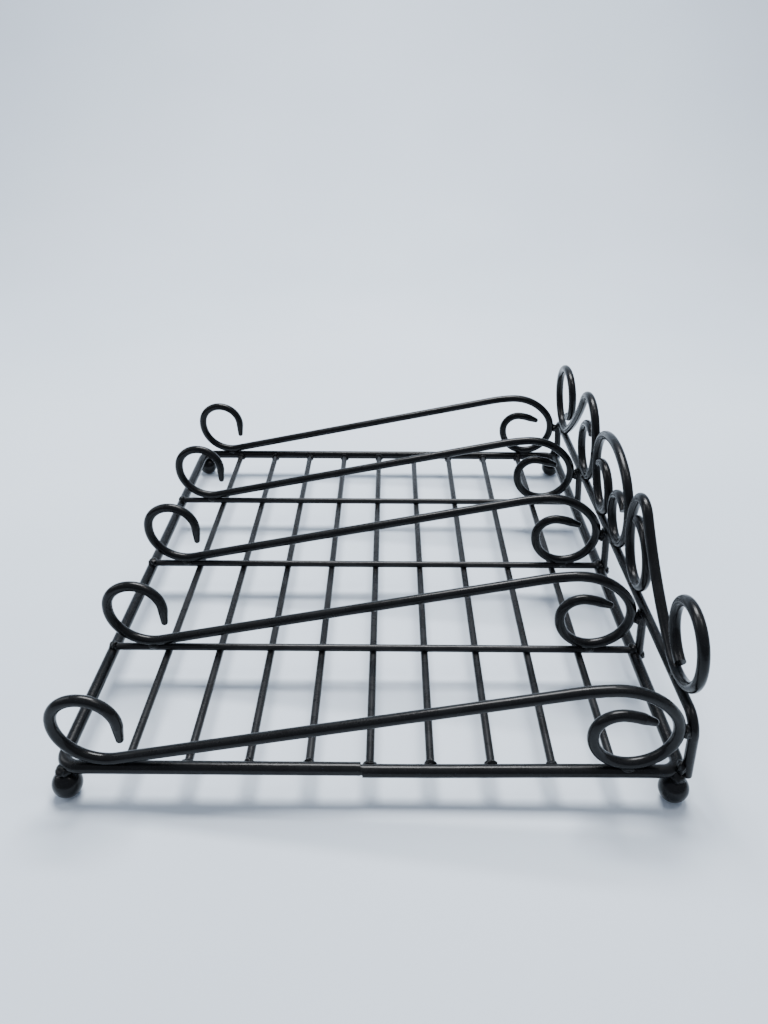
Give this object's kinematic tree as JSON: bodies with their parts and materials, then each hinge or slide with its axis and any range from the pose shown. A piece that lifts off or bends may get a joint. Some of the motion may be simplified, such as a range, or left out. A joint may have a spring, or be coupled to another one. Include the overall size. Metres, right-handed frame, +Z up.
{
  "type": "wire file rack",
  "caption": "Black welded wire desktop file rack: a wire grid on ball feet with upright scrolled dividers that form file slots, and a scrolled crest along one side.",
  "frame": {"origin": "on the plane that the four ball feet stand on, in the middle of the base frame", "axes": "+X along the dividers towards the scrolled crest, +Y from the front to the back across the slots, +Z up"},
  "size_m": [0.286, 0.319, 0.1077],
  "materials": {
    "black_paint": "satin to gloss black paint on steel rod and wire",
    "weld_paint": "the same paint over uneven weld beads"
  },
  "bodies": {
    "root": {"base_frame": "black_paint", "grid_wire_1": "black_paint", "grid_wire_2": "black_paint", "grid_wire_3": "black_paint", "grid_wire_4": "black_paint", "grid_wire_5": "black_paint", "grid_wire_6": "black_paint", "grid_wire_7": "black_paint", "grid_wire_8": "black_paint", "grid_wire_9": "black_paint", "cross_wire_1": "black_paint", "cross_wire_2": "black_paint", "cross_wire_3": "black_paint", "divider_1": "black_paint", "divider_2": "black_paint", "divider_3": "black_paint", "divider_4": "black_paint", "divider_5": "black_paint", "crest_rail": "black_paint", "crest_post_1": "black_paint", "crest_post_2": "black_paint", "crest_post_3": "black_paint", "crest_scroll_front": "black_paint", "crest_scroll_centre": "black_paint", "crest_scroll_back": "black_paint", "ball_foot_front_left": "black_paint", "ball_foot_front_right": "black_paint", "ball_foot_back_left": "black_paint", "ball_foot_back_right": "black_paint", "frame_weld": "weld_paint", "grid_welds": "weld_paint", "divider_welds": "weld_paint", "crest_welds": "weld_paint", "foot_welds": "weld_paint"}
  },
  "joints": []
}
